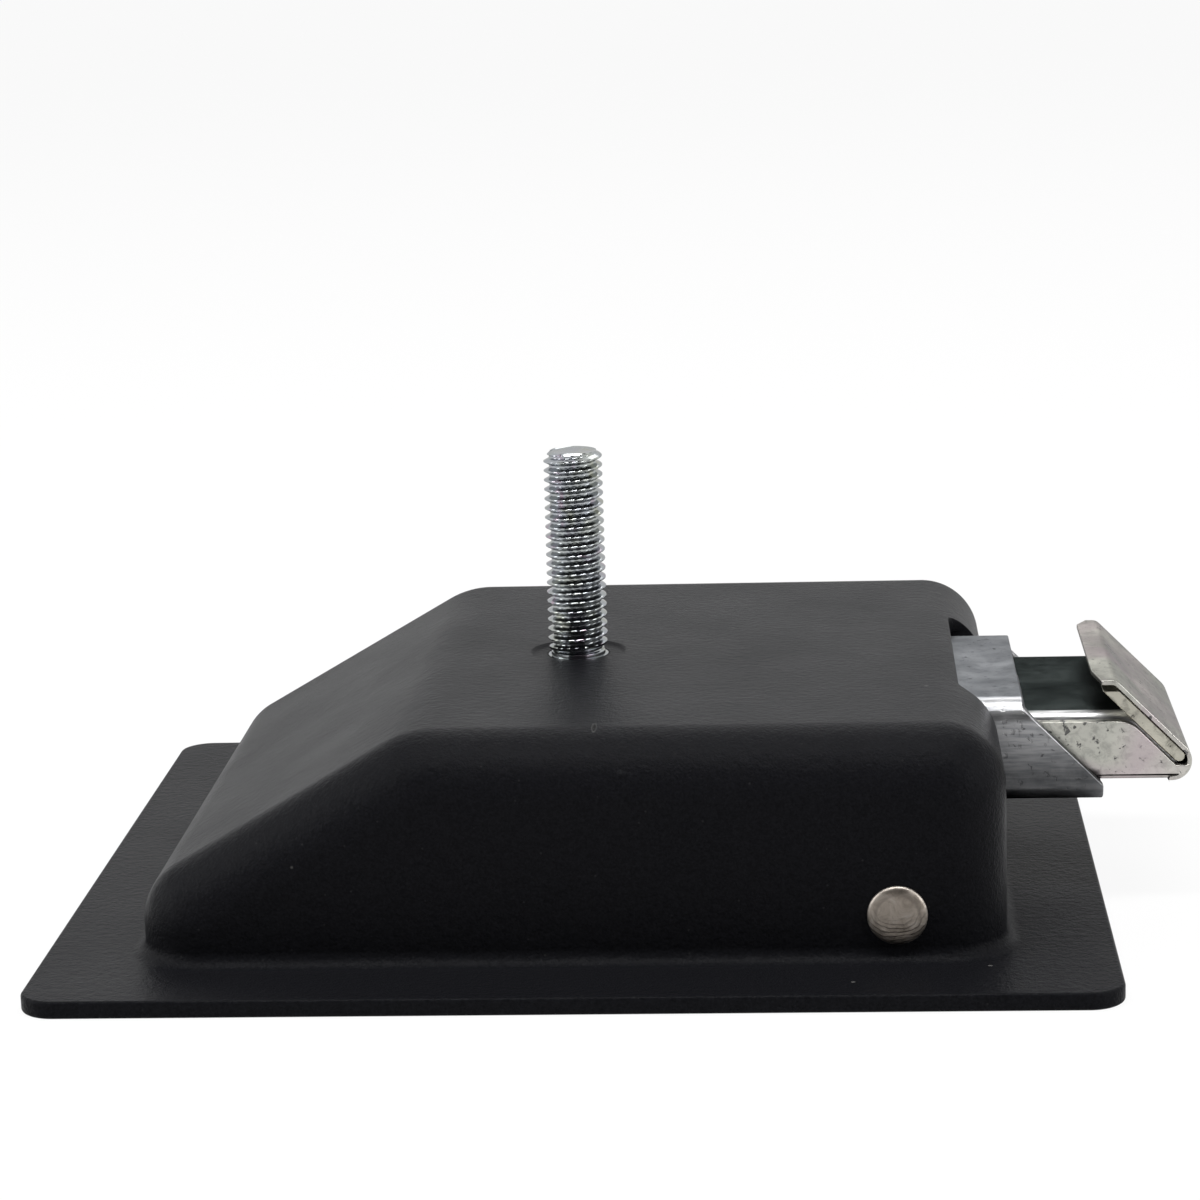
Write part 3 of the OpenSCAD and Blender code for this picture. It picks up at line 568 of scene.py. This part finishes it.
# The pressed ring round the stud: boss inside, tapered recess outside, and the stud's hole
BOSS_R = 5.9
BOSS_LOW = -2.8
BOSS_HIGH = -1.7
RING_LOW_R = 6.05
RING_HIGH_R = 6.9
RING_LOW = -0.3
RING_HIGH = 0.4
STUD_HOLE_R = 4.05
STUD_HOLE_LOW = -5
STUD_HOLE_HIGH = 1

PIVOT_BORE_R = 2.56
PIVOT_BORE_REACH = 50

# The slot in the end wall, and the flat that is pressed inside its edge
SLOT_LEFT = 49.5
SLOT_RIGHT = 57.4
SLOT_HALF = 20.2
SLOT_R = 2.0
SLOT_LOW = -16.4
SLOT_HIGH = 2
FLAT_LEFT = 48.3
FLAT_RIGHT = 51.5
FLAT_HIGH = -2.75

# Radius of the cut edges, and the angle in degrees from which an edge is rounded
PAN_EDGE = 0.18
PAN_EDGE_ANGLE = 42


def pan_columns():
    """Columns of the sheet: ball centre, outward direction, normal above, foot on the flange's edge."""
    y = PAN_W / 2 - PAN_R
    fy = FLANGE_W / 2 - FLANGE_R
    left_z = -RAMP_DROP - PAN_R / math.cos(RAMP) + PAN_R * math.tan(RAMP)
    turn_x = -PAN_LEFT + (RAMP_DROP + RAMP_R / math.cos(RAMP) - RAMP_R) / math.tan(RAMP)
    ramp_up = Vector((-math.sin(RAMP), 0, math.cos(RAMP)))
    right = (PAN_RIGHT - PAN_R, -PAN_R, FLANGE_RIGHT - FLANGE_R, Vector((0, 0, 1)))
    left = (-PAN_LEFT + PAN_R, left_z, -FLANGE_LEFT + FLANGE_R, ramp_up)
    columns = []

    def corner(end, side, start):
        for k in range(CORNER_STEPS + 1):
            a = math.radians(start + 90 * k / CORNER_STEPS)
            out = Vector((math.cos(a), math.sin(a), 0))
            foot = Vector((end[2], side * fy, 0)) + FLANGE_R * out
            columns.append((Vector((end[0], side * y, end[1])), out, end[3], foot))

    def turn(side, steps):
        for i in steps:
            a = RAMP * i / TURN_STEPS
            x = turn_x - (RAMP_R - PAN_R) * math.sin(a)
            centre = Vector((x, side * y, -RAMP_R + (RAMP_R - PAN_R) * math.cos(a)))
            up = Vector((-math.sin(a), 0, math.cos(a)))
            columns.append((centre, Vector((0, side, 0)), up, Vector((x, side * FLANGE_W / 2, 0))))

    corner(right, 1, 0)
    turn(1, range(TURN_STEPS + 1))
    corner(left, 1, 90)
    corner(left, -1, 180)
    turn(-1, range(TURN_STEPS, -1, -1))
    corner(right, -1, 270)
    return columns


def pan_column(column):
    """One column's points, from the pole over the outside and round the flange to the pole inside."""
    centre, out, up, foot = column
    seat = -PAN_H + SHEET
    bend_z = seat + BEND_R
    wall = Vector((centre.x, centre.y, 0)) + PAN_R * out

    def dome(r, steps):
        return [centre + r * out.slerp(up, i / CORNER_STEPS) for i in steps]

    def bend(r, steps):
        points = []
        for i in steps:
            a = math.radians(180 + 90 * i / BEND_STEPS)
            p = wall + (BEND_R + r * math.cos(a)) * out
            points.append(Vector((p.x, p.y, bend_z + r * math.sin(a))))
        return points

    def edge(z, turn_up):
        points = []
        for i in range(EDGE_STEPS + 1):
            a = math.pi / 2 * (i if turn_up else EDGE_STEPS - i) / EDGE_STEPS
            p = foot - FLANGE_EDGE * (1 - math.sin(a)) * out
            lift = FLANGE_EDGE * (1 - math.cos(a))
            points.append(Vector((p.x, p.y, z - lift if turn_up else z + lift)))
        return points

    return (
        dome(PAN_R, range(CORNER_STEPS, -1, -1)) + bend(BEND_R, range(BEND_STEPS + 1))
        + edge(seat, True) + edge(-PAN_H, False)
        + bend(BEND_R + SHEET, range(BEND_STEPS, -1, -1)) + dome(PAN_R - SHEET, range(CORNER_STEPS + 1))
    )


def pan_faces(n, rows):
    """Faces over n columns of rows points, with the top and the inside closed between the two sides."""
    per_corner = CORNER_STEPS + 1
    per_turn = TURN_STEPS + 1
    first = [0, per_corner + per_turn, 2 * per_corner + per_turn, 3 * per_corner + 2 * per_turn]

    def index(j, i):
        # All the columns of a corner share its first column's point at the pole
        if i in (0, rows - 1):
            for f in first:
                if f <= j < f + per_corner:
                    return f * rows + i
        return j * rows + i

    quads = []
    for j in range(n):
        j2 = (j + 1) % n
        for i in range(rows - 1):
            quads.append((index(j, i), index(j2, i), index(j2, i + 1), index(j, i + 1)))
    plus = [0, *range(per_corner, per_corner + per_turn), first[1]]
    minus = [first[3], *range(first[3] - 1, first[3] - 1 - per_turn, -1), first[2]]
    for k in range(len(plus) - 1):
        a, b, c, d = plus[k], minus[k], minus[k + 1], plus[k + 1]
        quads.append(tuple(j * rows for j in (a, b, c, d)))
        quads.append(tuple(j * rows + rows - 1 for j in (a, d, c, b)))
    faces = []
    for quad in quads:
        face = tuple(p for i, p in enumerate(quad) if p != quad[i - 1])
        if len(set(face)) > 2:
            faces.append(face)
    return faces


def drawn_pan():
    """The drawn sheet with its ring, holes and slot."""
    columns = [pan_column(c) for c in pan_columns()]
    verts = [p for c in columns for p in c]
    obj = new_piece("drawn_pan", verts, pan_faces(len(columns), len(columns[0])), coat)
    form = bmesh.new()
    form.from_mesh(obj.data)
    loose = [v for v in form.verts if not v.link_faces]
    bmesh.ops.delete(form, geom=loose, context="VERTS")
    weld(form, 0.001)
    bmesh.ops.recalc_face_normals(form, faces=form.faces)
    form.to_mesh(obj.data)
    form.free()
    cut(obj, cone(BOSS_R, BOSS_R, BOSS_LOW, BOSS_HIGH), "UNION")
    cut(obj, cone(RING_LOW_R, RING_HIGH_R, RING_LOW, RING_HIGH))
    cut(obj, cone(STUD_HOLE_R, STUD_HOLE_R, STUD_HOLE_LOW, STUD_HOLE_HIGH))
    cut(obj, pivot_bore(PIVOT_BORE_R, PIVOT_BORE_REACH))
    left = SLOT_LEFT + SLOT_R
    right = SLOT_RIGHT - SLOT_R
    side = SLOT_HALF - SLOT_R
    outline = []
    for x, y, start in ((right, side, 0), (left, side, 90), (left, -side, 180), (right, -side, 270)):
        outline += quarter(x, y, SLOT_R, start, SLOT_STEPS)
    cut(obj, prism(outline, SLOT_LOW, SLOT_HIGH))
    flat = [
        (FLAT_LEFT, -SLOT_HALF), (FLAT_RIGHT, -SLOT_HALF), (FLAT_RIGHT, SLOT_HALF), (FLAT_LEFT, SLOT_HALF),
    ]
    cut(obj, prism(flat, SLOT_LOW, FLAT_HIGH))
    form = bmesh.new()
    form.from_mesh(obj.data)
    weld(form, 0.02)
    form.to_mesh(obj.data)
    form.free()
    round_edges(obj, PAN_EDGE, PAN_EDGE_ANGLE)
    shade(obj)
    stand_in(obj, "pan", "frame")


# Threaded stud, sizes in mm

PITCH = 1.25
THREAD_LOW = 0.32
THREAD_TOP = 27.0
CREST_R = 3.95
CREST_WEAR = 0.1
CREST_FLAT = 0.08
FLANK = 1.75
THREAD_DEPTH = 0.72

# Radius of the chamfer at the very end, and the slant of the sheared end
END_R = 3.05
END_SLANT = 0.15
SLANT_TOWARDS = 0.75

# Where the last turn runs out, and over what height
RUN_OUT_TOP = 1.5
RUN_OUT_H = 1.2
RUN_OUT_TOWARDS = -0.9

STUD_SIDES = 120
STUD_ROWS = 440

# Dished end face as (radius, height, slant)
STUD_END = [(2.95, 26.9, 0.06), (2.5, 26.84, 0.06), (1.5, 26.8, 0.04), (0.5, 26.78, 0.01)]

# Below the thread, from the top down, as (radius, height)
STUD_COLLAR = [(3.3, 0.3), (3.55, 0.1), (3.6, -0.28), (3.98, -0.34), (3.98, -0.7), (3.5, -0.8), (3.5, -4.4)]
STUD_HEAD = [(7.3, -4.4), (7.5, -4.6), (7.5, -6.2), (6.9, -6.8), (2.45, -6.8)]
STUD_TAIL = [(2.45, -8.8), (3.05, -8.8), (3.2, -8.9), (3.0, -9.2), (2.45, -9.55), (0.4, -9.6)]


def thread_radius(theta, z):
    """Radius of a right-hand thread, worn a little, cut off on a slight slant at its end."""
    crest = CREST_R - CREST_WEAR * max(0.0, min(1.0, z / THREAD_TOP))
    u = (z / PITCH - theta / math.tau) % 1.0
    off = min(u, 1 - u) * PITCH
    depth = min(THREAD_DEPTH, max(0.0, (off - CREST_FLAT) * FLANK))
    # Round the crest and the root a little
    wave = 0.5 - 0.5 * math.cos(math.pi * depth / THREAD_DEPTH)
    depth = THREAD_DEPTH * wave * 0.2 + depth * 0.8
    # The last turn runs out into the neck
    fade = max(0.0, min(1.0, (RUN_OUT_TOP - z) / RUN_OUT_H))
    depth = max(depth, THREAD_DEPTH * fade * (0.5 + 0.5 * math.cos(theta - RUN_OUT_TOWARDS)))
    slant = END_SLANT * math.cos(theta - SLANT_TOWARDS)
    return min(crest - depth, THREAD_TOP + END_R - z + slant)


def threaded_stud():
    """The stud with its thread, neck, head and peened tail."""
    angles = [math.tau * k / STUD_SIDES for k in range(STUD_SIDES)]
    high = THREAD_TOP - 0.02
    verts = []
    for i in range(STUD_ROWS + 1):
        z = THREAD_LOW + (high - THREAD_LOW) * i / STUD_ROWS
        for theta in angles:
            r = thread_radius(theta, z)
            verts.append((r * math.cos(theta), r * math.sin(theta), z))
    faces = []

    def bridge(a, b):
        for k in range(STUD_SIDES):
            k2 = (k + 1) % STUD_SIDES
            faces.append((a + k, a + k2, b + k2, b + k))

    def ring(r, z, lift=0.0):
        start = len(verts)
        for theta in angles:
            slant = lift * math.cos(theta - SLANT_TOWARDS)
            verts.append((r * math.cos(theta), r * math.sin(theta), z + slant))
        return start

    for i in range(STUD_ROWS):
        bridge(i * STUD_SIDES, (i + 1) * STUD_SIDES)
    last = STUD_ROWS * STUD_SIDES
    for r, z, lift in STUD_END:
        start = ring(r, z, lift)
        bridge(last, start)
        last = start
    faces.append(tuple(last + k for k in range(STUD_SIDES)))
    upper = 0
    for r, z in STUD_COLLAR + STUD_HEAD + STUD_TAIL:
        start = ring(r, z)
        bridge(start, upper)
        upper = start
    faces.append(tuple(upper + k for k in reversed(range(STUD_SIDES))))
    obj = new_piece("threaded_stud", verts, faces, stud_zinc)
    smooth(obj.data, THREAD_SHARP_ANGLE)
    stand_in(obj, "mounting_stud", "frame")


# Node, body, slot, and the radius in mm of its edges
DRESSED = [
    ("bolt_guide", "frame", "zinc", 0.2),
    ("bolt_shell", "bolt", "zinc", 0.1),
    ("bolt_core", "bolt", "zinc", 0.15),
    ("strike_doubler", "bolt", "zinc", 0.12),
    ("bolt_spring_seat", "bolt", "zinc", 0.1),
    ("spring_stop", "frame", "zinc", 0.15),
    ("paddle", "handle", "powder_coat", 0.2),
    ("paddle_lever", "handle", "zinc", 0.15),
    ("lever_rivets", "handle", "raw_steel", 0.15),
    ("pivot_pin", "frame", "raw_steel", 0.06),
    ("long_spacer", "frame", "zinc", 0.1),
    ("inner_spacer", "frame", "zinc", 0.1),
    ("outer_spacer", "frame", "zinc", 0.1),
    ("drive_pin", "bolt", "raw_steel", 0.1),
]

drawn_pan()
threaded_stud()
for node_name, body_name, slot_name, edge_radius in DRESSED:
    dressed(node_name, body_name, edge_radius)


# Floor, world, lamps and camera

WHITE = (1, 1, 1, 1)

# Floor in mm, and how much of its look is plain white
FLOOR_REACH = 4000
FLOOR_Z = -30.02
FLOOR_WHITE = 0.92

# Black flags in mm: half width, outline in the YZ plane, and the spans of it that have a flag
FLAG_HALF = 450
FLAG_OUTLINE = [(-560, -29), (-600, 300), (-430, 560), (-240, 720), (0, 720), (280, 700)]
FLAG_SPANS = (0, 1, 2, 4)

# Strength of the world on the object, with 1 where it is seen
WORLD_LIGHT = 0.35

# Name, place and target in metres, width, height, watts
LAMPS = [
    ("key", (0.0, -0.16, 0.85), (0, 0, 0), 0.9, 0.16, 8),
    ("back", (0.05, 0.75, 0.75), (0, 0, 0), 0.7, 0.4, 2),
    ("left_fill", (-0.85, -0.1, 0.4), (0, 0, 0), 0.5, 0.4, 4),
    ("right_fill", (0.8, -0.3, 0.35), (0.05, 0, 0), 0.4, 0.4, 2.6),
]

# Camera: pitch down, yaw and roll in degrees, place in mm, focal length and frame in pixels
VIEW_ANGLES = (12.48, 3.73, -1.71)
VIEW_PLACE = (33.28, -463.72, 109.65)
FOCAL_PIXELS = 3598.88
FRAME_PIXELS = 1200
SENSOR = 36


def is_seen(tree):
    """1 for camera, glossy and transmission rays."""
    path = add(tree, "ShaderNodeLightPath")
    first = maths(tree, "MAXIMUM", path.outputs["Is Camera Ray"], path.outputs["Is Glossy Ray"])
    return maths(tree, "MAXIMUM", first, path.outputs["Is Transmission Ray"])


def make_floor():
    """White floor that keeps the shadow, and is clear from below, so that the latch's front shows."""
    far, z = FLOOR_REACH, FLOOR_Z
    obj = new_piece("floor", [(-far, -far, z), (far, -far, z), (far, far, z), (-far, far, z)], [(0, 1, 2, 3)])
    mat, tree, shader = new_material("floor")
    shader.inputs["Base Color"].default_value = (0.82, 0.82, 0.82, 1)
    shader.inputs["Roughness"].default_value = 0.9
    glow = add(tree, "ShaderNodeEmission")
    glow.inputs["Strength"].default_value = 1.0
    above = add(tree, "ShaderNodeMixShader")
    tree.links.new(multiply(tree, is_seen(tree), FLOOR_WHITE), above.inputs["Fac"])
    tree.links.new(shader.outputs[0], above.inputs[1])
    tree.links.new(glow.outputs[0], above.inputs[2])
    below = add(tree, "ShaderNodeBsdfTransparent")
    sides = add(tree, "ShaderNodeMixShader")
    tree.links.new(add(tree, "ShaderNodeNewGeometry").outputs["Backfacing"], sides.inputs["Fac"])
    tree.links.new(above.outputs[0], sides.inputs[1])
    tree.links.new(below.outputs[0], sides.inputs[2])
    tree.links.new(sides.outputs[0], tree.nodes["Material Output"].inputs["Surface"])
    obj.data.materials.append(mat)


def make_card():
    """Black flags on the camera's side and overhead, which show only in reflections."""
    corners = [(x, y, z) for x in (-FLAG_HALF, FLAG_HALF) for y, z in FLAG_OUTLINE]
    n = len(FLAG_OUTLINE)
    obj = new_piece("dark_card", corners, [(i, i + 1, n + i + 1, n + i) for i in FLAG_SPANS])
    mat, tree, shader = new_material("dark_card")
    shader.inputs["Base Color"].default_value = (0.01, 0.01, 0.01, 1)
    shader.inputs["Roughness"].default_value = 0.9
    obj.data.materials.append(mat)
    obj.visible_camera = False


def make_world():
    """Soft light on the object, and plain white where the world is seen."""
    world = bpy.data.worlds.new("studio")
    bpy.context.scene.world = world
    world.use_nodes = True
    tree = world.node_tree
    light = tree.nodes["Background"]
    light.inputs["Color"].default_value = WHITE
    light.inputs["Strength"].default_value = WORLD_LIGHT
    seen = add(tree, "ShaderNodeBackground")
    seen.inputs["Color"].default_value = WHITE
    seen.inputs["Strength"].default_value = 1.0
    mix = add(tree, "ShaderNodeMixShader")
    tree.links.new(is_seen(tree), mix.inputs["Fac"])
    tree.links.new(light.outputs[0], mix.inputs[1])
    tree.links.new(seen.outputs[0], mix.inputs[2])
    tree.links.new(mix.outputs[0], tree.nodes["World Output"].inputs["Surface"])


def lamp(name, place, target, width, height, watts):
    data = bpy.data.lights.new(name, "AREA")
    data.shape = "RECTANGLE"
    data.size = width
    data.size_y = height
    data.energy = watts
    obj = bpy.data.objects.new(name, data)
    bpy.context.collection.objects.link(obj)
    obj.location = place
    obj.rotation_mode = "QUATERNION"
    obj.rotation_quaternion = (Vector(target) - Vector(place)).to_track_quat("-Z", "Y")


def make_camera():
    """The photograph's own view."""
    pitch, yaw, roll = (math.radians(a) for a in VIEW_ANGLES)
    level_forward = math.cos(pitch)
    forward = Vector((-math.sin(yaw) * level_forward, math.cos(yaw) * level_forward, -math.sin(pitch)))
    level = Vector((math.cos(yaw), math.sin(yaw), 0))
    rise = level.cross(forward)
    right = level * math.cos(roll) + rise * math.sin(roll)
    up = rise * math.cos(roll) - level * math.sin(roll)
    data = bpy.data.cameras.new("camera")
    data.sensor_width = SENSOR
    data.lens = FOCAL_PIXELS / FRAME_PIXELS * SENSOR
    data.clip_start = 0.01
    data.clip_end = 100
    obj = bpy.data.objects.new("camera", data)
    bpy.context.collection.objects.link(obj)
    turn = Matrix((right, up, -forward)).transposed().to_4x4()
    obj.matrix_world = Matrix.Translation(Vector(VIEW_PLACE) * MM) @ turn
    bpy.context.scene.camera = obj


make_floor()
make_card()
make_world()
for lamp_values in LAMPS:
    lamp(*lamp_values)
make_camera()

scene = bpy.context.scene
scene.view_settings.view_transform = "Standard"

bpy.context.view_layer.update()
